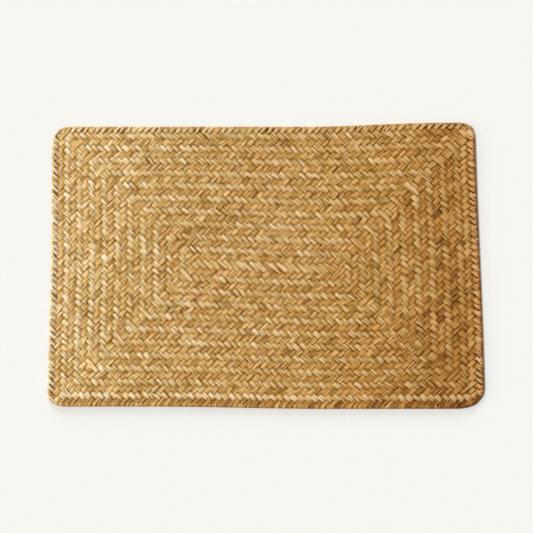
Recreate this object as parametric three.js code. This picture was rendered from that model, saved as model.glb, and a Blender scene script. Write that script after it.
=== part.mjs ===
// Straw placemat: a flat mat plaited in one piece from flat straws that run at 45 degrees to its sides.
// Millimetres, +Z up. The mat lies on the plane z = 0 and the origin is under its middle.
// +X runs along the mat's length and +Y along its width.
//
// The straws turn under at each side and run back into the plait, which makes the edge a round roll
// that stands a little higher than the field. Each turn shows on the roll as one slanting ridge.

import * as THREE from 'three';

// Sizes of the whole mat
const LENGTH = 450;
const WIDTH = 300;
const FIELD_THICKNESS = 2.0;
const EDGE_THICKNESS = 2.9;
const EDGE_TO_FIELD = 6;

// Straws that turn under at each side
const TURNS_ALONG_LENGTH = 63;
const TURNS_ALONG_WIDTH = 43;
const WIDENING = 0.112; // the straws are wider towards +X, by this share of an even spacing
const GROOVE_DEPTH = 0.3; // between one turn and the next
const STATIONS_PER_TURN = 3; // one in the groove and two on the straw

// Corners: how far each curve reaches along the two sides that it joins
const CORNERS = {
  topLeft: { alongX: 20, alongY: 20 },
  topRight: { alongX: 16, alongY: 16 },
  bottomRight: { alongX: 30, alongY: 22 },
  bottomLeft: { alongX: 17.5, alongY: 17.5 },
};

// Each hand-plaited side strays from the nominal rectangle. It lies out by outBefore up to the
// place from, by outAfter beyond the place to, and goes smoothly from one to the other between them.
// Places along the top and the bottom are x, and along the left and the right they are y.
const SIDES = {
  top: { from: 46, to: 192, outBefore: -1.65, outAfter: 2.7 },
  right: { from: -100, to: 110, outBefore: 1.9, outAfter: -0.15 },
  bottom: { from: -115, to: 60, outBefore: 0.35, outAfter: 2.7 },
  left: { from: -10, to: 120, outBefore: -0.5, outAfter: 1.95 },
};

// Rings of the edge's profile, from the field over the roll to the underside. The angle goes round
// the roll's middle: 90 degrees is its top, 0 its outermost line and -90 its underside.
const ROLL_RADIUS = EDGE_THICKNESS / 2;
const ROLL_ANGLES = [90, 45, 0, -45, -90];

// The flat faces fan out from four points of a patch in the middle of the mat.
const PATCH = { left: -150, right: 150, bottom: -60, top: 90 };

function smoothBetween(from, to, value) {
  return THREE.MathUtils.smoothstep(value, from, to);
}

function sideOut(side, place) {
  return THREE.MathUtils.lerp(side.outBefore, side.outAfter, smoothBetween(side.from, side.to, place));
}

// Where the nominal rectangle's point (x, y) lies in the mat, with its round corners and uneven sides.
function matPoint(x, y) {
  const corner = CORNERS[(y > 0 ? 'top' : 'bottom') + (x > 0 ? 'Right' : 'Left')];
  const straightX = LENGTH / 2 - corner.alongX;
  const straightY = WIDTH / 2 - corner.alongY;
  const u = Math.max(0, (Math.abs(x) - straightX) / corner.alongX);
  const v = Math.max(0, (Math.abs(y) - straightY) / corner.alongY);
  const roundX = u > 0 ? Math.sign(x) * (straightX + corner.alongX * u * Math.sqrt(1 - v * v / 2)) : x;
  const roundY = v > 0 ? Math.sign(y) * (straightY + corner.alongY * v * Math.sqrt(1 - u * u / 2)) : y;

  const rightShare = x / LENGTH + 0.5;
  const topShare = y / WIDTH + 0.5;
  const outX = rightShare * sideOut(SIDES.right, y) - (1 - rightShare) * sideOut(SIDES.left, y);
  const outY = topShare * sideOut(SIDES.top, x) - (1 - topShare) * sideOut(SIDES.bottom, x);
  return new THREE.Vector2(roundX + outX, roundY + outY);
}

// The place along the length of a share of the straws' turns, counted from the left.
function alongLength(share) {
  return LENGTH * (share - WIDENING * share * (1 - share) - 0.5);
}

function alongWidth(share) {
  return WIDTH * (share - 0.5);
}

// A point of the outline. Turns are counted clockwise from the top left corner.
const ALL_TURNS = 2 * (TURNS_ALONG_LENGTH + TURNS_ALONG_WIDTH);

function outlinePoint(turn) {
  let along = ((turn % ALL_TURNS) + ALL_TURNS) % ALL_TURNS;
  if (along < TURNS_ALONG_LENGTH) return matPoint(alongLength(along / TURNS_ALONG_LENGTH), WIDTH / 2);
  along -= TURNS_ALONG_LENGTH;
  if (along < TURNS_ALONG_WIDTH) return matPoint(LENGTH / 2, alongWidth(1 - along / TURNS_ALONG_WIDTH));
  along -= TURNS_ALONG_WIDTH;
  if (along < TURNS_ALONG_LENGTH) return matPoint(alongLength(1 - along / TURNS_ALONG_LENGTH), -WIDTH / 2);
  along -= TURNS_ALONG_LENGTH;
  return matPoint(-LENGTH / 2, alongWidth(along / TURNS_ALONG_WIDTH));
}

// The outline's point moved into the mat, square to the outline.
function insetPoint(turn, inset) {
  const step = 0.3;
  const along = outlinePoint(turn + step).sub(outlinePoint(turn - step)).normalize();
  const inward = new THREE.Vector2(along.y, -along.x);
  return outlinePoint(turn).addScaledVector(inward, inset);
}

// The straws slant at 45 degrees, so a turn moves along the edge as far as it moves round the roll.
const TURN_PITCH = (LENGTH + WIDTH) / (TURNS_ALONG_LENGTH + TURNS_ALONG_WIDTH);

function edgeRings() {
  const rings = [];
  const stations = ALL_TURNS * STATIONS_PER_TURN;
  const addRing = (pointAt) => rings.push(Array.from({ length: stations }, (_, station) => pointAt(station)));

  addRing((station) => {
    const turn = station / STATIONS_PER_TURN - (EDGE_TO_FIELD - ROLL_RADIUS) / TURN_PITCH;
    const place = insetPoint(turn, EDGE_TO_FIELD);
    return [place.x, place.y, FIELD_THICKNESS];
  });

  for (const degrees of ROLL_ANGLES) {
    const angle = THREE.MathUtils.degToRad(degrees);
    const slant = ROLL_RADIUS * (Math.PI / 2 - angle) / TURN_PITCH;
    addRing((station) => {
      const grooved = station % STATIONS_PER_TURN === 0 && degrees > -90;
      const radius = ROLL_RADIUS - (grooved ? GROOVE_DEPTH : 0);
      const place = insetPoint(station / STATIONS_PER_TURN + slant, ROLL_RADIUS - radius * Math.cos(angle));
      return [place.x, place.y, ROLL_RADIUS + radius * Math.sin(angle)];
    });
  }
  return rings;
}

// The triangles of a flat face between a ring and the patch, and of the patch itself, facing up.
function flatFace(ring, ringStart, positions) {
  const height = ring[0][2];
  const first = positions.length / 3;
  positions.push(PATCH.left, PATCH.top, height, PATCH.right, PATCH.top, height);
  positions.push(PATCH.right, PATCH.bottom, height, PATCH.left, PATCH.bottom, height);
  const [topLeft, topRight, bottomRight, bottomLeft] = [first, first + 1, first + 2, first + 3];
  const nearest = ([x, y]) => (y > 0 ? (x > 0 ? topRight : topLeft) : (x > 0 ? bottomRight : bottomLeft));

  const triangles = [topLeft, bottomLeft, topRight, topRight, bottomLeft, bottomRight];
  ring.forEach((point, index) => {
    const next = (index + 1) % ring.length;
    const own = nearest(point);
    const following = nearest(ring[next]);
    triangles.push(ringStart + next, ringStart + index, own);
    if (following !== own) triangles.push(ringStart + next, own, following);
  });
  return triangles;
}

function matGeometry() {
  const rings = edgeRings();
  const count = rings[0].length;
  const positions = rings.flat(2);
  const triangles = [];

  for (let ring = 0; ring < rings.length - 1; ring += 1) {
    for (let station = 0; station < count; station += 1) {
      const next = (station + 1) % count;
      const inner = ring * count;
      const outer = inner + count;
      triangles.push(inner + station, inner + next, outer + station);
      triangles.push(outer + station, inner + next, outer + next);
    }
  }

  triangles.push(...flatFace(rings[0], 0, positions));
  const underside = flatFace(rings.at(-1), (rings.length - 1) * count, positions);
  triangles.push(...underside.reverse());

  const geometry = new THREE.BufferGeometry();
  geometry.setAttribute('position', new THREE.Float32BufferAttribute(positions, 3));
  geometry.setIndex(triangles);
  geometry.computeVertexNormals();
  return geometry;
}

const straw = new THREE.MeshStandardMaterial({ color: 0xc79a5b, roughness: 0.72, metalness: 0 });

const mat = new THREE.Mesh(matGeometry(), straw);
mat.name = 'mat';

const placemat = new THREE.Group();
placemat.add(mat);

export default placemat;
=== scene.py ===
# Straw placemat: every straw of the plait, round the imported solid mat.
# The straws run at 45 degrees to the sides and form one endless path, which turns under at each side.
# Sizes are millimetres until a mesh is made, and the mat lies as in the frame: +X along its length.

import math

import bpy
import numpy as np
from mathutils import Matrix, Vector


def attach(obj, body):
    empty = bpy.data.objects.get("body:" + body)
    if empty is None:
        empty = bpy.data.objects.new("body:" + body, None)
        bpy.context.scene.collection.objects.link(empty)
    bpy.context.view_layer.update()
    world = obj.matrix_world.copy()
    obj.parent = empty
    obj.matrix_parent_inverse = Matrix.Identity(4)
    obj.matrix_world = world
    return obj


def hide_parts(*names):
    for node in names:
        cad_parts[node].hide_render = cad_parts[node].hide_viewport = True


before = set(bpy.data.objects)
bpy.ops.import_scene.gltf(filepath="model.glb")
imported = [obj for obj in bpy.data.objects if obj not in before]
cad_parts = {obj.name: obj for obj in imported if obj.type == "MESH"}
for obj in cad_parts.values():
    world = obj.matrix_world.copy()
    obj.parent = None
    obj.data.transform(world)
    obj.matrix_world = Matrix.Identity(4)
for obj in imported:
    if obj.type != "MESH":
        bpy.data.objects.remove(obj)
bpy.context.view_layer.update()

MM = 0.001


# Camera: 10 degrees off straight down, from the side that is nearest to the viewer

VIEW_ELEVATION = math.radians(80)
VIEW_DISTANCE = 1335
VIEW_TARGET = Vector((1.65, -3.55, 0))
LENS = 85.76
SENSOR_WIDTH = 36


def make_camera():
    data = bpy.data.cameras.new("camera")
    data.lens = LENS
    data.sensor_width = SENSOR_WIDTH
    camera = bpy.data.objects.new("camera", data)
    bpy.context.collection.objects.link(camera)
    back = Vector((0, -math.cos(VIEW_ELEVATION), math.sin(VIEW_ELEVATION)))
    camera.location = (VIEW_TARGET + VIEW_DISTANCE * back) * MM
    camera.rotation_mode = "QUATERNION"
    camera.rotation_quaternion = (-back).to_track_quat("-Z", "Y")
    bpy.context.scene.camera = camera


make_camera()


# The mat's outline, as in the solid

LENGTH = 450
WIDTH = 300
HALF = np.array([LENGTH / 2, WIDTH / 2])

# How far each corner's curve reaches along the two sides that it joins
CORNER_REACH = {
    "top left": (20, 20),
    "top right": (16, 16),
    "bottom right": (30, 22),
    "bottom left": (17.5, 17.5),
}

# Each side strays from the nominal rectangle: place from, place to, out before them, out after them
SIDE_STRAY = {
    "top": (46, 192, -1.65, 2.7),
    "right": (-100, 110, 1.9, -0.15),
    "bottom": (-115, 60, 0.35, 2.7),
    "left": (-10, 120, -0.5, 1.95),
}


def smooth_step(value):
    value = np.clip(value, 0, 1)
    return value * value * (3 - 2 * value)


def side_out(side, place):
    start, end, before, after = SIDE_STRAY[side]
    return before + (after - before) * smooth_step((place - start) / (end - start))


def corner_reach(p, q):
    """The reach of the corner that each nominal point is nearest to, along x and along y."""
    reach = np.empty(p.shape + (2,))
    for name, sizes in CORNER_REACH.items():
        vertical, horizontal = name.split()
        near = ((q > 0) == (vertical == "top")) & ((p > 0) == (horizontal == "right"))
        reach[near] = sizes
    return reach[..., 0], reach[..., 1]


def on_mat(p, q):
    """Where the nominal rectangle's point (p, q) lies in the mat."""
    reach_x, reach_y = corner_reach(p, q)
    u = np.maximum(0, (np.abs(p) - (HALF[0] - reach_x)) / reach_x)
    v = np.maximum(0, (np.abs(q) - (HALF[1] - reach_y)) / reach_y)
    x = np.where(u > 0, np.sign(p) * (HALF[0] - reach_x + reach_x * u * np.sqrt(1 - v * v / 2)), p)
    y = np.where(v > 0, np.sign(q) * (HALF[1] - reach_y + reach_y * v * np.sqrt(1 - u * u / 2)), q)
    right = p / LENGTH + 0.5
    top = q / WIDTH + 0.5
    x = x + right * side_out("right", q) - (1 - right) * side_out("left", q)
    y = y + top * side_out("top", p) - (1 - top) * side_out("bottom", p)
    return x, y


# The plait. Straws cross at the points (column, row) of a lattice where column + row is odd. Those
# on the lattice's border are the turns at the sides. A straw that rises to the right is a riser, and
# one that falls to the right is a faller.

TURNS_ALONG_LENGTH = 63
TURNS_ALONG_WIDTH = 43
LAST = np.array([2 * TURNS_ALONG_LENGTH, 2 * TURNS_ALONG_WIDTH])
MIDDLE_ROW = TURNS_ALONG_WIDTH
FIRST_MIDDLE_COLUMN = 45
LAST_MIDDLE_COLUMN = 85
BAND = 2  # crossings from one nested rectangle of the twill to the next


def trace_path():
    """The endless path, one row for each step from a crossing to the next: its start and direction."""
    steps = []
    place = (1, int(LAST[1]))
    way = (1, -1)
    while not steps or (*place, *way) != steps[0]:
        steps.append((*place, *way))
        place = (place[0] + way[0], place[1] + way[1])
        way = tuple(-w if at in (0, last) else w for w, at, last in zip(way, place, LAST))
    return np.array(steps)


def riser_on_top(column, row):
    """The twill runs in nested rectangles, with risers and fallers on top by turns."""
    ring = np.maximum(np.abs(row - MIDDLE_ROW), FIRST_MIDDLE_COLUMN - column)
    ring = np.maximum(ring, column - LAST_MIDDLE_COLUMN)
    on_top = ring // BAND % 2 == 1
    # At each corner the straw that cuts it off lies on top
    for end_column in (0, LAST[0]):
        for end_row in (0, LAST[1]):
            at_corner = np.abs(column - end_column) + np.abs(row - end_row) == 1
            on_top = np.where(at_corner, (end_column == 0) != (end_row == 0), on_top)
    return on_top


# How the lattice lies on the nominal rectangle: first, how far its border lies inside each side
BORDER_INSET = {"left": 1.8, "right": 3.2, "bottom": 3.0, "top": 2.0}
WIDENING = 0.112  # the straws are wider towards +X, by this share of an even spacing

# The hand-plaited rows and columns don't run quite straight. BOW is the shift in the mat's middle,
# along x and along y. WAVE is how far the rows rise in the left half and sink in the right half.
BOW = (5.0, -3.0)
WAVE = 2.5


def nominal_place(column, row):
    t = column / LAST[0]
    left, right, bottom, top = BORDER_INSET.values()
    p = left - HALF[0] + (LENGTH - left - right) * (t - WIDENING * t * (1 - t))
    q = bottom - HALF[1] + (WIDTH - bottom - top) * row / LAST[1]
    return p, q


def bowed(p, q):
    """The nominal point after the plait's bow and wave, which fade out at the sides."""
    across = np.cos(math.pi * q / WIDTH)
    bow = np.cos(math.pi * p / LENGTH) * across
    wave = np.sin(2 * math.pi * p / LENGTH) * across
    return p + BOW[0] * bow, q + BOW[1] * bow - WAVE * wave


# The straws' own form. Shares and steps are those of the lattice.

STRAW_WIDTH = 1.03  # of the room between two neighbours' middles
STRAW_THICKNESS = 0.45
CROWN = 0.04  # how much lower a straw's edges lie than its middle
RISE = 0.72  # from the field's mid-plane to a straw's middle, up or down
FIELD_MIDDLE = 1.05  # the height of the field's mid-plane
DIVE_STEPS = 0.95  # from the mid-plane to a straw's highest place
LOWEST = 0.01  # no point lies lower than this

# The edge, where the straws turn round a roll
ROLL_RADIUS = 1.15  # to the straws' middle
ROLL_INSET = 1.45  # of the roll's axis from the outline
ROLL_HEIGHT = 1.5  # of the roll's axis
ROLL_ENDS = 6.5  # this far in, the edge is as thin as the field
STEEPENING = 1.2  # the straws turn steeper within this distance of the border
QUARTER = ROLL_RADIUS * math.pi / 2

# Just inside the edge the straws draw together in places, which opens slits between them. For each
# side: the share of the turns with a slit, how much narrower the straw gets there, and how much paler
# the straws are at the slits, at the turns themselves, and in the row further in. This paleness is
# painted light, and painted shade below 0: paler inside the top, left and right sides, darker inside
# the bottom and at every turn, and a painted sheen on the row further in at the bottom and right.
EDGE_LOOKS = {
    "left": (0.95, 0.5, 3.2, -1.6, 0.0),
    "right": (0.75, 0.5, 1.0, -2.6, 2.2),
    "bottom": (0.35, 0.5, -2.4, -1.6, 3.4),
    "top": (0.95, 0.5, 4.4, -1.2, -0.6),
}
SLIT_SHARES = (0.6, 1.0)  # a slit is between these shares of its side's depth
PAINTED_ROW_SHARES = (0.3, 1.2)
NEAR_TURN = 4  # steps on both sides of a turn that have its looks
FAR = 5.0  # stands for any place further than NEAR_TURN from a turn

# Where those looks lie, in steps from the turn, and how far they spread
SLIT_PLACE = 0.72
SLIT_SPREAD = 0.42
TURN_SPREAD = 0.3
ROW_PLACE = 2.45
ROW_SPREAD = 0.7
SLANT_REACH = 1.2
EDGE_WIDENING = 0.3  # at the turns, where the straws lie over each other

# Rings along a straw and points round it
RINGS_A_STEP = 4
RINGS_BY_TURN = np.array([0.05, 0.1, 0.16, 0.37])  # more rings on both sides of a turn, in steps from it
SECTION = np.array([  # across, from -1 to 1, and thickness, from -1 to 1
    (-1.0, 0.4), (-0.93, 1.0), (0.0, 1.0), (0.93, 1.0), (1.0, 0.4),
    (1.0, -0.4), (0.93, -1.0), (0.0, -1.0), (-0.93, -1.0), (-1.0, -0.4),
])
ACROSS = SECTION[:, 0]
THICK = SECTION[:, 1]
AROUND = len(SECTION)
CUT = 0.03  # half the gap between one straw's end and the next one's start, in steps
STEP_MM = 4.95  # a step's mean length
STRAW_STEPS = (100, 160)
PIECES = 5

# How much the straws vary, as standard deviations: from crossing to crossing, and from straw to straw
SEED = 41
WIDTH_VARIES = 0.06
ASIDE_VARIES = 0.045
TILT_VARIES = 0.09
LIFT_VARIES = 0.05
STRAW_WIDTH_VARIES = 0.07

# Tone is dark below 0 and pale above it. A float is the stretch between two dives.
LOWEST_TONE = -2
HIGHEST_TONE = 2.5
HIGHEST_LONG_TONE = 0.2  # for floats of more than LONG_FLOAT steps
LONG_FLOAT = 2
FLOAT_TONE = 0.42
STRAW_TONE = 0.2
FLOAT_WARMTH = 0.8
STRAW_WARMTH = 0.4

# Towards the mat's right end the tones vary more, by this share. It begins at a share of the length.
LIVELIER_RIGHT = 1.5
LIVELIER_FROM = 0.75
LIVELIER_OVER = 0.2


def side_of(column, row):
    """The side that a turn on the lattice's border is at."""
    if column == 0:
        return "left"
    if column == LAST[0]:
        return "right"
    return "bottom" if row == 0 else "top"


class Path:
    """The endless path and what varies from crossing to crossing."""

    def __init__(self):
        steps = trace_path()
        self.count = len(steps)
        self.start = steps[:, :2]
        self.way = steps[:, 2:]
        riser = self.way[:, 0] == self.way[:, 1]
        on_top = riser_on_top(self.start[:, 0], self.start[:, 1])
        self.leaving = np.where(on_top == riser, 1, -1)
        self.arriving = np.where(np.roll(on_top, -1) == riser, 1, -1)
        self.turn_at_start = riser != np.roll(riser, 1)
        self.turn_at_end = np.roll(self.turn_at_start, -1)
        self.facing = np.where(np.cumsum(self.turn_at_start) % 2 == 1, 1, -1)
        self.dives = self.leaving != self.arriving
        self.dive_places = np.flatnonzero(self.dives) + 0.5
        self.floats = int(self.dives.sum())
        self.float_number = np.cumsum(self.dives) % self.floats
        self.vary(np.random.RandomState(SEED))

    def vary(self, random):
        self.width = 1 + WIDTH_VARIES * random.standard_normal(self.count)
        self.aside = ASIDE_VARIES * random.standard_normal(self.count)
        self.tilt = TILT_VARIES * random.standard_normal(self.count)
        self.lift = LIFT_VARIES * random.standard_normal(self.count)
        self.choose_edge_looks(random)
        lengths = np.diff(np.append(self.dive_places, self.dive_places[0] + self.count))
        highest = np.where(lengths > LONG_FLOAT, HIGHEST_LONG_TONE, HIGHEST_TONE)
        self.float_tone = np.clip(random.standard_normal(self.floats), LOWEST_TONE, highest)
        self.float_warmth = random.standard_normal(self.floats)
        self.cuts = self.choose_cuts(random)
        self.straw_width = 1 + STRAW_WIDTH_VARIES * random.standard_normal(len(self.cuts))
        self.straw_tone = random.standard_normal(len(self.cuts))
        self.straw_warmth = random.standard_normal(len(self.cuts))

    def choose_edge_looks(self, random):
        """For each step by a turn: how much narrower the straw is just inside, and how much painted light
        or shade it gets.
        """
        self.slit, self.pale_inside, self.pale_at_turn, self.painted_light_in_row = np.zeros((4, self.count))
        for step in np.flatnonzero(self.turn_at_start):
            share, depth, pale_inside, pale_at_turn, painted_light_in_row = EDGE_LOOKS[side_of(*self.start[step])]
            near = np.arange(step - NEAR_TURN, step + NEAR_TURN) % self.count
            on_top = np.arange(step, step + 2) if self.leaving[step] > 0 else np.arange(step - 2, step)
            self.painted_light_in_row[near] = painted_light_in_row * random.uniform(*PAINTED_ROW_SHARES)
            narrower = depth * random.uniform(*SLIT_SHARES)
            self.slit[on_top % self.count] = narrower * (random.uniform() < share)
            self.pale_inside[near] = pale_inside
            self.pale_at_turn[near] = pale_at_turn

    def choose_cuts(self, random):
        """Steps in which one straw ends and the next begins, where both dive out of sight."""
        near_turn = self.turn_at_start | self.turn_at_end
        may_cut = np.flatnonzero(self.dives & ~near_turn)
        cuts = [may_cut[0]]
        while True:
            wanted = cuts[-1] + random.randint(*STRAW_STEPS)
            if wanted > may_cut[0] + self.count - STRAW_STEPS[0]:
                return np.array(cuts)
            cuts.append(may_cut[np.searchsorted(may_cut, wanted)])

    def split(self, places):
        """The step that each place lies in, and how far along the step it is."""
        whole = np.floor(places)
        return whole.astype(int) % self.count, places - whole

    def between(self, values, step, part):
        """values at each crossing, blended along the step."""
        return values[step] * (1 - part) + values[(step + 1) % self.count] * part


def ring_places(path, number):
    """The places along the path of one straw's rings."""
    start = path.cuts[number]
    following = path.cuts[(number + 1) % len(path.cuts)]
    end = following + (path.count if following <= start else 0)
    first = start + 0.5 + CUT
    last = end + 0.5 - CUT
    inner = np.arange(math.floor(first * RINGS_A_STEP) + 1, math.ceil(last * RINGS_A_STEP)) / RINGS_A_STEP
    turns = np.unique(np.round(inner))
    turns = turns[path.turn_at_start[turns.astype(int) % path.count]]
    by_turns = (turns[:, None] + np.concatenate([-RINGS_BY_TURN, RINGS_BY_TURN])).ravel()
    return np.concatenate([[first], np.sort(np.concatenate([inner, by_turns])), [last]])


def height_share(path, places, step, part):
    """1 where the straw lies highest, -1 where it lies lowest, and a wave between them where it dives."""
    dives = path.dive_places
    dives = np.concatenate([[dives[-1] - path.count], dives, [dives[0] + path.count]])
    place = places % path.count
    following = np.searchsorted(dives, place, side="right")
    before = place - dives[following - 1]
    after = dives[following] - place
    quarter = np.minimum(DIVE_STEPS, (before + after) / 2)
    wave = np.sin(math.pi / 2 * np.minimum(np.minimum(before, after) / quarter, 1))
    return wave * np.where(part < 0.5, path.leaving[step], path.arriving[step])


def inside_sides(p, q):
    """How far along the straw, in millimetres, each point lies inside the roll's outermost line."""
    inside = []
    for place, half, low, high in ((p, HALF[0], "left", "right"), (q, HALF[1], "bottom", "top")):
        inset = np.where(place < 0, BORDER_INSET[low], BORDER_INSET[high])
        distance = half - inset - np.abs(place)
        extra = inset - ROLL_INSET + QUARTER
        inside.append(distance + extra * np.tanh(distance / STEEPENING))
    return inside


def side_normal(p, q, at_ends):
    """The outline's outward direction near nominal points, by the left or right side where at_ends."""
    step = 0.5
    step_p = np.where(at_ends, 0, step)
    step_q = np.where(at_ends, step, 0)
    x0, y0 = on_mat(p - step_p, q - step_q)
    x1, y1 = on_mat(p + step_p, q + step_q)
    turn = np.where(at_ends, -np.sign(p), np.sign(q))
    normal = np.stack([-(y1 - y0), x1 - x0]) * turn
    return normal / np.linalg.norm(normal, axis=0)


def steps_to_turn(path, step, part):
    """How many steps along the path the nearest turn is, or FAR where none is within NEAR_TURN."""
    to_turn = np.full(part.shape, FAR)
    for away in range(NEAR_TURN):
        before = np.where(np.roll(path.turn_at_start, away)[step], part + away, FAR)
        after = np.where(np.roll(path.turn_at_end, -away)[step], 1 - part + away, FAR)
        to_turn = np.minimum(to_turn, np.minimum(before, after))
    return to_turn


def edge_shares(path, step, part):
    """How much each place shows the looks of the slits, of the turns and of the row further in."""
    to_turn = steps_to_turn(path, step, part)
    inside = np.exp(-(((to_turn - SLIT_PLACE) / SLIT_SPREAD) ** 2))
    at_turn = np.exp(-((to_turn / TURN_SPREAD) ** 2))
    in_row = np.exp(-(((to_turn - ROW_PLACE) / ROW_SPREAD) ** 4))
    return inside, at_turn, in_row


def slant(path, step, part):
    """How far the straw's rings are slanted towards the side that it turns at, which they are parallel to
    at the turn. Elsewhere they lie square to the straw."""
    way = path.way[step]
    riser = path.facing[step] * way[:, 0] * way[:, 1]
    slanted = np.zeros(part.shape)
    for away in (-1, 0, 1, 2):
        turn = (step + away) % path.count
        side = np.where(path.start[turn, 0] % LAST[0] == 0, -1, 1)
        share = 1 - smooth_step(np.abs(part - away) / SLANT_REACH)
        slanted += np.where(path.turn_at_start[turn], side * share, 0)
    return riser * np.clip(slanted, -1, 1)


def straw_half_width(path, step, part):
    width = STRAW_WIDTH * path.between(path.width, step, part)
    inside, at_turn, _ = edge_shares(path, step, part)
    return (width - path.slit[step] * inside + EDGE_WIDENING * at_turn) / 2


def lattice_points(path, step, part, number):
    """The columns and rows of the points of a straw's rings."""
    half_width = straw_half_width(path, step, part) * path.straw_width[number]
    sideways = path.between(path.aside, step, part)[:, None] + half_width[:, None] * ACROSS
    way = path.way[step]
    facing = path.facing[step][:, None]
    along = part[:, None] + sideways * slant(path, step, part)[:, None]
    column = path.start[step, 0][:, None] + along * way[:, 0:1] + sideways * facing * way[:, 1:2]
    row = path.start[step, 1][:, None] + along * way[:, 1:2] - sideways * facing * way[:, 0:1]
    return column, row


def nearest_turn(path, step, part):
    """For each ring: whether it turns at a side, which way is out there, and whether that side is the
    left or the right one."""
    at_start = path.turn_at_start[step] & ((part < 0.5) | ~path.turn_at_end[step])
    at_end = path.turn_at_end[step] & ~at_start
    column = path.start[step, 0] + np.where(at_end, path.way[step, 0], 0)
    out = np.where(at_start, path.leaving[step], np.where(at_end, path.arriving[step], 1))
    return (at_start | at_end)[:, None], out[:, None], (column % LAST[0] == 0)[:, None]


# How a point's height tells whether it lies on an outer face of the mat (1) or in between (0), where it
# gets painted shade
OUTSIDE_MIDWAY = 0.25
OUTSIDE_BY_HEIGHT = 1.6


def straw_points(path, places, number):
    """The points of a straw's rings, in millimetres, and how far each is on an outer face of the mat."""
    step, part = path.split(places)
    facing = path.facing[step][:, None]
    turns, outer, at_ends = nearest_turn(path, step, part)

    p, q = nominal_place(*lattice_points(path, step, part, number))
    inside_p, inside_q = inside_sides(p, q)
    inset_p = ROLL_INSET + np.maximum(np.abs(inside_p) - QUARTER, 0)
    inset_q = ROLL_INSET + np.maximum(np.abs(inside_q) - QUARTER, 0)
    p = np.sign(p) * (HALF[0] - inset_p)
    q = np.sign(q) * (HALF[1] - inset_q)

    edge = 1 - smooth_step((np.minimum(inset_p, inset_q) - ROLL_INSET) / (ROLL_ENDS - ROLL_INSET))
    rise = RISE + (ROLL_RADIUS - RISE) * edge
    middle = FIELD_MIDDLE + (ROLL_HEIGHT - FIELD_MIDDLE) * edge
    share = height_share(path, places, step, part)[:, None]
    lift = path.between(path.lift, step, part)[:, None] * (1 - edge)
    tilt = path.between(path.tilt, step, part)[:, None] * ACROSS * (1 - edge)
    above = share * (rise - CROWN * ACROSS**2) + facing * (THICK * STRAW_THICKNESS / 2 + tilt) + lift

    inside = np.where(at_ends, inside_p, inside_q)
    angle = np.where(turns, np.clip(inside / ROLL_RADIUS, -math.pi / 2, math.pi / 2), math.pi / 2)
    normal = side_normal(p, q, np.broadcast_to(at_ends, p.shape))
    x, y = on_mat(*bowed(p, q))
    out = outer * above * np.cos(angle)
    z = np.maximum(middle + above * np.sin(angle), LOWEST)
    outside = np.clip(OUTSIDE_MIDWAY + OUTSIDE_BY_HEIGHT * facing * share * THICK, 0, 1)
    return np.stack([x + out * normal[0], y + out * normal[1], z], axis=-1), outside


def straw_faces(rings, first):
    """The faces of one straw: four-sided ones round it, and one over each end."""
    ring = first + AROUND * np.arange(rings - 1)[:, None]
    here = np.arange(AROUND)[None, :]
    following = (here + 1) % AROUND
    corners = [ring + here, ring + following, ring + AROUND + following, ring + AROUND + here]
    ends = [first + np.arange(AROUND)[::-1], first + AROUND * (rings - 1) + np.arange(AROUND)]
    return np.stack(corners, axis=-1).reshape(-1, 4), ends


# The map that the looks are baked on: each piece has a square of cells, one for each step

SECTION_MM = SECTION * (STEP_MM / 2, STRAW_THICKNESS / 2)
ROUND = np.linalg.norm(np.roll(SECTION_MM, -1, axis=0) - SECTION_MM, axis=1)
ROUND = np.concatenate([[0], np.cumsum(ROUND)]) / ROUND.sum()  # how far round each point lies
CELL_MARGIN = 0.04
END_REACH = (0.4, 0.45)  # of a straw's end face from its middle: of the cut, and of the cell


def in_cell(cell, cells, u, v):
    """The place on the map of the point (u, v) of a cell."""
    v = CELL_MARGIN + (1 - 2 * CELL_MARGIN) * v
    return np.stack([(cell % cells + u) / cells, (cell // cells + v) / cells], axis=-1)


def map_places(places, origin, cells):
    """Where a straw's faces lie on its piece's map."""
    start, end = places[:-1, None], places[1:, None]
    cell = np.floor((start + end) / 2 - origin)
    low, high = ROUND[None, :-1], ROUND[None, 1:]
    quads = []
    for along, height in ((start, low), (start, high), (end, high), (end, low)):
        u, v = np.broadcast_arrays(along - origin - cell, height)
        quads.append(in_cell(cell, cells, u, v))
    ends = []
    for place, way in ((places[0], -1), (places[-1], 1)):
        cell = np.floor(place - origin)
        u = place - origin - cell + way * CUT * (0.5 + END_REACH[0] * THICK[::way])
        ends.append(in_cell(cell, cells, u, 0.5 + END_REACH[1] * ACROSS[::way]))
    return np.stack(quads, axis=-2).reshape(-1, 2), ends


def add_attribute(mesh, name, values):
    """Values for each point of a mesh, as vectors where each is three numbers."""
    kind, field = ("FLOAT_VECTOR", "vector") if values.ndim == 2 else ("FLOAT", "value")
    attribute = mesh.attributes.new(name, kind, "POINT")
    attribute.data.foreach_set(field, np.ascontiguousarray(values, dtype=np.float32).ravel())


def mark_creases(mesh):
    """The straws are flat, so the edges along both sides of their broad faces are sharp."""
    ends = np.empty(2 * len(mesh.edges), dtype=np.int32)
    mesh.edges.foreach_get("vertices", ends)
    ends = ends.reshape(-1, 2)
    along = (ends[:, 0] - ends[:, 1]) % AROUND == 0
    at_side = (np.abs(THICK) == 1) & (ACROSS != 0)
    mesh.edges.foreach_set("use_edge_sharp", along & at_side[ends[:, 0] % AROUND])


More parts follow.
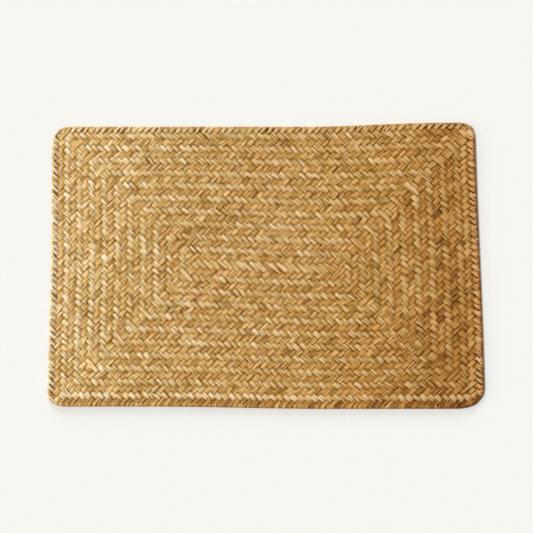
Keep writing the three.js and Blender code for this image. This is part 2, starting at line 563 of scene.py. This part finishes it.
def build_mesh(name, points, quads, ends, on_map):
    """A mesh of four-sided faces and of the straws' end faces, with the map that its looks are baked on."""
    mesh = bpy.data.meshes.new(name)
    corners = np.concatenate([quads.ravel(), np.concatenate(ends)])
    sizes = np.concatenate([np.full(len(quads), 4), np.full(len(ends), AROUND)])
    mesh.vertices.add(len(points))
    mesh.vertices.foreach_set("co", (points * MM).astype(np.float32).ravel())
    mesh.loops.add(len(corners))
    mesh.loops.foreach_set("vertex_index", corners.astype(np.int32))
    mesh.polygons.add(len(sizes))
    mesh.polygons.foreach_set("loop_start", np.concatenate([[0], np.cumsum(sizes)[:-1]]).astype(np.int32))
    mesh.polygons.foreach_set("use_smooth", sizes == 4)
    mesh.uv_layers.new(name="OFBake").uv.foreach_set("vector", on_map.astype(np.float32).ravel())
    mesh.update(calc_edges=True)
    mesh.validate()
    mark_creases(mesh)
    return mesh


# The grain is where a point lies in the straw's own stuff, in millimetres: along it, across it, and
# a place that keeps straws and the two faces of a straw apart
GRAIN_HALF_WIDTH = 2.3
GRAIN_BETWEEN_STRAWS = 7.3
GRAIN_BETWEEN_FACES = 3.0
SLANT_OF_FALLOFF = 0.12  # the painted falloff of light along the mat's length leans over by this share


def straw_grain(places, number):
    along = (places - places[0]) * STEP_MM
    apart = GRAIN_BETWEEN_STRAWS * number + GRAIN_BETWEEN_FACES * (THICK < 0)
    grain = np.broadcast_arrays(along[:, None], ACROSS * GRAIN_HALF_WIDTH, apart)
    return np.stack(grain, axis=-1).reshape(-1, 3)


def straw_tones(path, places, number, points):
    """The tone and the warmth of each ring of a straw."""
    step, part = path.split(places)
    before = (path.float_number[step] - path.dives[step]) % path.floats
    own = np.where(part < 0.5, before, path.float_number[step])
    inside, at_turn, in_row = edge_shares(path, step, part)
    tone = FLOAT_TONE * path.float_tone[own] + STRAW_TONE * path.straw_tone[number]
    # painted light and shade by the edges, added to the tone
    tone = tone + path.pale_inside[step] * inside + path.pale_at_turn[step] * at_turn
    tone = tone + path.painted_light_in_row[step] * in_row
    to_right = points[..., 0].mean(axis=1) / LENGTH + 0.5
    tone = tone * (1 + LIVELIER_RIGHT * smooth_step((to_right - LIVELIER_FROM) / LIVELIER_OVER))
    return tone, FLOAT_WARMTH * path.float_warmth[own] + STRAW_WARMTH * path.straw_warmth[number]


def make_piece(path, numbers, name, material):
    """One piece, of straws that follow on from each other along the path."""
    points, quads, ends, quads_on_map, ends_on_map = [], [], [], [], []
    looks = {"grain": [], "tone": [], "warmth": [], "pale": [], "outside": []}
    first = 0
    origin = path.cuts[numbers[0]]
    cells = math.ceil(math.sqrt(ring_places(path, numbers[-1])[-1] - origin + 1))
    for number in numbers:
        places = ring_places(path, number)
        rings = len(places)
        ring_points, outside = straw_points(path, places, number)
        points.append(ring_points.reshape(-1, 3))
        straw_quads, straw_ends = straw_faces(rings, first)
        quads.append(straw_quads)
        ends.extend(straw_ends)
        straw_quads, straw_ends = map_places(places, origin, cells)
        quads_on_map.append(straw_quads)
        ends_on_map.extend(straw_ends)
        tone, warmth = straw_tones(path, places, number, ring_points)
        looks["grain"].append(straw_grain(places, number))
        looks["tone"].append(np.repeat(tone, AROUND))
        looks["warmth"].append(np.repeat(warmth, AROUND))
        # painted sheen: the face that lies up where a straw falls to the right is paler
        looks["pale"].append(np.tile(0.5 + 0.5 * np.sign(THICK), rings))
        looks["outside"].append(outside.ravel())
        first += rings * AROUND
    points = np.concatenate(points)
    mesh = build_mesh(name, points, np.concatenate(quads), ends, np.concatenate(quads_on_map + ends_on_map))
    for look, values in looks.items():
        add_attribute(mesh, look, np.concatenate(values))
    # place along the mat, which sets the painted light falloff
    add_attribute(mesh, "along_mat", points[:, 0] / LENGTH + 0.5 - SLANT_OF_FALLOFF * points[:, 1] / WIDTH)
    mesh.materials.append(material)
    piece = bpy.data.objects.new(mesh.name, mesh)
    bpy.context.collection.objects.link(piece)
    return piece


def make_straws(path, material):
    """The straws in a few pieces, each of which follows on from the last along the path."""
    shares = np.array_split(np.arange(len(path.cuts)), PIECES)
    return [make_piece(path, share, f"straws_{index + 1}", material) for index, share in enumerate(shares)]


# Material

class Nodes:
    """Short calls for a material's nodes."""

    def __init__(self, material):
        self.tree = material.node_tree

    def add(self, kind, **settings):
        node = self.tree.nodes.new(kind)
        for name, value in settings.items():
            setattr(node, name, value)
        return node

    def put(self, value, socket):
        if isinstance(value, bpy.types.NodeSocket):
            self.tree.links.new(value, socket)
        else:
            socket.default_value = value

    def attribute(self, name, output):
        return self.add("ShaderNodeAttribute", attribute_name=name).outputs[output]

    def math(self, operation, *values):
        node = self.add("ShaderNodeMath", operation=operation)
        for value, socket in zip(values, node.inputs):
            self.put(value, socket)
        return node.outputs[0]

    def varied(self, level, noise, strength):
        """level, raised and lowered by a noise whose mean is a half."""
        return self.math("MULTIPLY_ADD", self.math("SUBTRACT", noise, 0.5), strength, level)

    def noise(self, place, scale, detail):
        stretch = self.add("ShaderNodeVectorMath", operation="MULTIPLY")
        self.put(place, stretch.inputs[0])
        self.put(scale, stretch.inputs[1])
        node = self.add("ShaderNodeTexNoise")
        self.put(stretch.outputs[0], node.inputs["Vector"])
        node.inputs["Scale"].default_value = 1.0
        node.inputs["Detail"].default_value = detail
        node.inputs["Roughness"].default_value = 0.5
        return node.outputs["Fac"]

    def ramp(self, value, stops):
        node = self.add("ShaderNodeValToRGB")
        self.put(value, node.inputs["Fac"])
        elements = node.color_ramp.elements
        while len(elements) < len(stops):
            elements.new(0.5)
        for element, (place, colour) in zip(elements, stops):
            element.position = place
            element.color = (*colour, 1)
        return node.outputs["Color"]

    def mix(self, share, a, b, kind="MIX"):
        node = self.add("ShaderNodeMix", data_type="RGBA", blend_type=kind)
        self.put(share, node.inputs["Factor"])
        self.put(a, node.inputs["A"])
        self.put(b, node.inputs["B"])
        return node.outputs["Result"]


# Noises in the grain: scale along, across and apart, detail, and how much it changes the level of pale
STRIPES = ((0.035, 1.0, 1.0), 1.5, 2.6)
FIBRES = ((0.1, 3.2, 1.0), 2.0, 1.0)
BLOTCHES = ((0.14, 0.2, 1.0), 2.0, 0.4)

# The level of pale of a straw with no tone, and what tone and the painted sheen on one face add to it
LEVEL = 0.45
TONE_IN_LEVEL = 0.09
SHEEN_FACE_IN_LEVEL = 0.12
WARMTH_IN_TINT = 0.13

# Colours by level, by warmth, and by place along the mat, which goes from pale straw to brown: partly
# painted light that falls off from the left end, with a whiter painted sheen there, and partly a browner
# straw towards the right
GOLDEN = [
    (0.0, (0.22, 0.080, 0.008)),
    (0.3, (0.49, 0.255, 0.042)),
    (0.55, (0.72, 0.445, 0.135)),
    (0.8, (0.87, 0.63, 0.33)),
    (1.0, (0.98, 0.80, 0.57)),
]
TINT = [
    (0.0, (0.92, 0.96, 0.88)),
    (0.5, (0.97, 0.97, 0.95)),
    (1.0, (1.0, 0.84, 0.62)),
]
PAINTED_FALLOFF = [
    (0.08, (1.02, 1.09, 1.22)),
    (0.30, (0.87, 0.87, 0.80)),
    (0.50, (0.86, 0.83, 0.76)),
    (0.68, (0.80, 0.73, 0.59)),
    (0.80, (0.75, 0.65, 0.48)),
    (0.97, (0.60, 0.455, 0.27)),
]
# Painted sheen: the face that lies up on the fallers is paler, and the other face, up on the risers, more
# golden
UNSHEENED_FACE_TINT = (1.0, 0.94, 0.78, 1)
SHEEN_FACE_TINT = (1.0, 1.0, 1.0, 1)
# Painted shade where the straws lie in between: on their hidden faces, where they dive, and a little at
# their edges
PAINTED_SHADE_BETWEEN = (0.28, 0.10, 0.01, 1)

# Gloss, which is less towards the mat's right end and none between the straws
ROUGHNESS = 0.3
FIBRES_IN_ROUGHNESS = 0.2
GLOSS = 1.0
FALLOFF_IN_GLOSS = -0.5
FACES_FROM = (5.0, -4.0)  # slope and offset that leave gloss only where outside is over 0.8
GLOSS_TINT = (1.0, 0.88, 0.70, 1)

BUMP_STRENGTH = 0.5
BUMP_DISTANCE = 0.00012
STRIPES_IN_BUMP = 1.6


def straw_colour(nodes, grain, stripes, fibres, outside):
    pale = nodes.attribute("pale", "Fac")
    blotches = nodes.noise(grain, *BLOTCHES[:2])
    level = nodes.math("MULTIPLY_ADD", nodes.attribute("tone", "Fac"), TONE_IN_LEVEL, LEVEL)
    level = nodes.varied(level, stripes, STRIPES[2])
    level = nodes.varied(level, fibres, FIBRES[2])
    level = nodes.varied(level, blotches, BLOTCHES[2])
    # painted sheen on one face of each straw
    level = nodes.math("MULTIPLY_ADD", pale, SHEEN_FACE_IN_LEVEL, level)
    warm = nodes.math("MULTIPLY_ADD", nodes.attribute("warmth", "Fac"), WARMTH_IN_TINT, 0.5)
    colour = nodes.mix(1.0, nodes.ramp(level, GOLDEN), nodes.ramp(warm, TINT), "MULTIPLY")
    # painted sheen: one face paler, the other more golden
    colour = nodes.mix(1.0, colour, nodes.mix(pale, UNSHEENED_FACE_TINT, SHEEN_FACE_TINT), "MULTIPLY")
    # painted light falloff along the mat, paler at the left end
    colour = nodes.mix(1.0, colour, nodes.ramp(nodes.attribute("along_mat", "Fac"), PAINTED_FALLOFF), "MULTIPLY")
    # painted shade, by how far each point lies in between the outer faces
    painted_shade = nodes.mix(1.0, colour, PAINTED_SHADE_BETWEEN, "MULTIPLY")
    return nodes.mix(outside, painted_shade, colour)


def straw_gloss(nodes, outside):
    gloss = nodes.math("MULTIPLY_ADD", nodes.attribute("along_mat", "Fac"), FALLOFF_IN_GLOSS, GLOSS)
    on_faces = nodes.math("MAXIMUM", nodes.math("MULTIPLY_ADD", outside, *FACES_FROM), 0.0)
    return nodes.math("MULTIPLY", gloss, on_faces)


def straw_bump(nodes, stripes, fibres):
    bump = nodes.add("ShaderNodeBump")
    bump.inputs["Strength"].default_value = BUMP_STRENGTH
    bump.inputs["Distance"].default_value = BUMP_DISTANCE
    height = nodes.math("ADD", fibres, nodes.math("MULTIPLY", stripes, STRIPES_IN_BUMP))
    nodes.put(height, bump.inputs["Height"])
    return bump.outputs["Normal"]


def make_straw_material():
    material = bpy.data.materials.new("straw")
    material.use_nodes = True
    nodes = Nodes(material)
    shader = material.node_tree.nodes["Principled BSDF"]

    grain = nodes.attribute("grain", "Vector")
    stripes = nodes.noise(grain, *STRIPES[:2])
    fibres = nodes.noise(grain, *FIBRES[:2])
    outside = nodes.attribute("outside", "Fac")
    nodes.put(straw_colour(nodes, grain, stripes, fibres, outside), shader.inputs["Base Color"])
    roughness = nodes.math("MULTIPLY_ADD", fibres, FIBRES_IN_ROUGHNESS, ROUGHNESS)
    nodes.put(roughness, shader.inputs["Roughness"])
    nodes.put(straw_gloss(nodes, outside), shader.inputs["Specular IOR Level"])
    shader.inputs["Specular Tint"].default_value = GLOSS_TINT
    nodes.put(straw_bump(nodes, stripes, fibres), shader.inputs["Normal"])
    return material


# Floor and light

FLOOR_REACH = 12  # in metres, so that its far edge stays out of sight in low views
FLOOR_COLOUR = (0.85, 0.842, 0.81, 1)
FLOOR_ROUGHNESS = 0.9
FLOOR_GLOSS = 0.1
SKY_COLOUR = (1, 0.995, 0.98, 1)
SKY_STRENGTH = 0.45

# Azimuth, where the lamp stands, anticlockwise from +X, elevation, strength and how wide it looks
SUNS = {
    "key": (176, 53, 1.75, 14),
    "rake_left": (185, 13, 0.75, 16),
    "rake_top": (100, 15, 1.7, 18),
}


def make_floor():
    mesh = bpy.data.meshes.new("floor")
    corners = [(FLOOR_REACH * x, FLOOR_REACH * y, 0) for x, y in ((-1, -1), (1, -1), (1, 1), (-1, 1))]
    mesh.from_pydata(corners, [], [(0, 1, 2, 3)])
    floor = bpy.data.objects.new("floor", mesh)
    bpy.context.collection.objects.link(floor)
    material = bpy.data.materials.new("floor")
    material.use_nodes = True
    shader = material.node_tree.nodes["Principled BSDF"]
    shader.inputs["Base Color"].default_value = FLOOR_COLOUR
    shader.inputs["Roughness"].default_value = FLOOR_ROUGHNESS
    shader.inputs["Specular IOR Level"].default_value = FLOOR_GLOSS
    mesh.materials.append(material)
    return floor


def add_sun(name, azimuth, elevation, strength, angle):
    """A lamp as far as the sun. Its angles are in degrees."""
    data = bpy.data.lights.new(name, "SUN")
    data.energy = strength
    data.angle = math.radians(angle)
    lamp = bpy.data.objects.new(name, data)
    bpy.context.collection.objects.link(lamp)
    azimuth = math.radians(azimuth)
    elevation = math.radians(elevation)
    level = math.cos(elevation)
    towards = Vector((math.cos(azimuth) * level, math.sin(azimuth) * level, math.sin(elevation)))
    lamp.rotation_mode = "QUATERNION"
    lamp.rotation_quaternion = towards.to_track_quat("Z", "Y")


def make_light():
    world = bpy.data.worlds.new("studio")
    world.use_nodes = True
    background = world.node_tree.nodes["Background"]
    background.inputs["Color"].default_value = SKY_COLOUR
    background.inputs["Strength"].default_value = SKY_STRENGTH
    bpy.context.scene.world = world
    for name, sizes in SUNS.items():
        add_sun(name, *sizes)
    bpy.context.scene.view_settings.view_transform = "Standard"


path = Path()
pieces = make_straws(path, make_straw_material())
floor = make_floor()
make_light()

for piece in pieces:
    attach(piece, "root")
    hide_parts("mat")
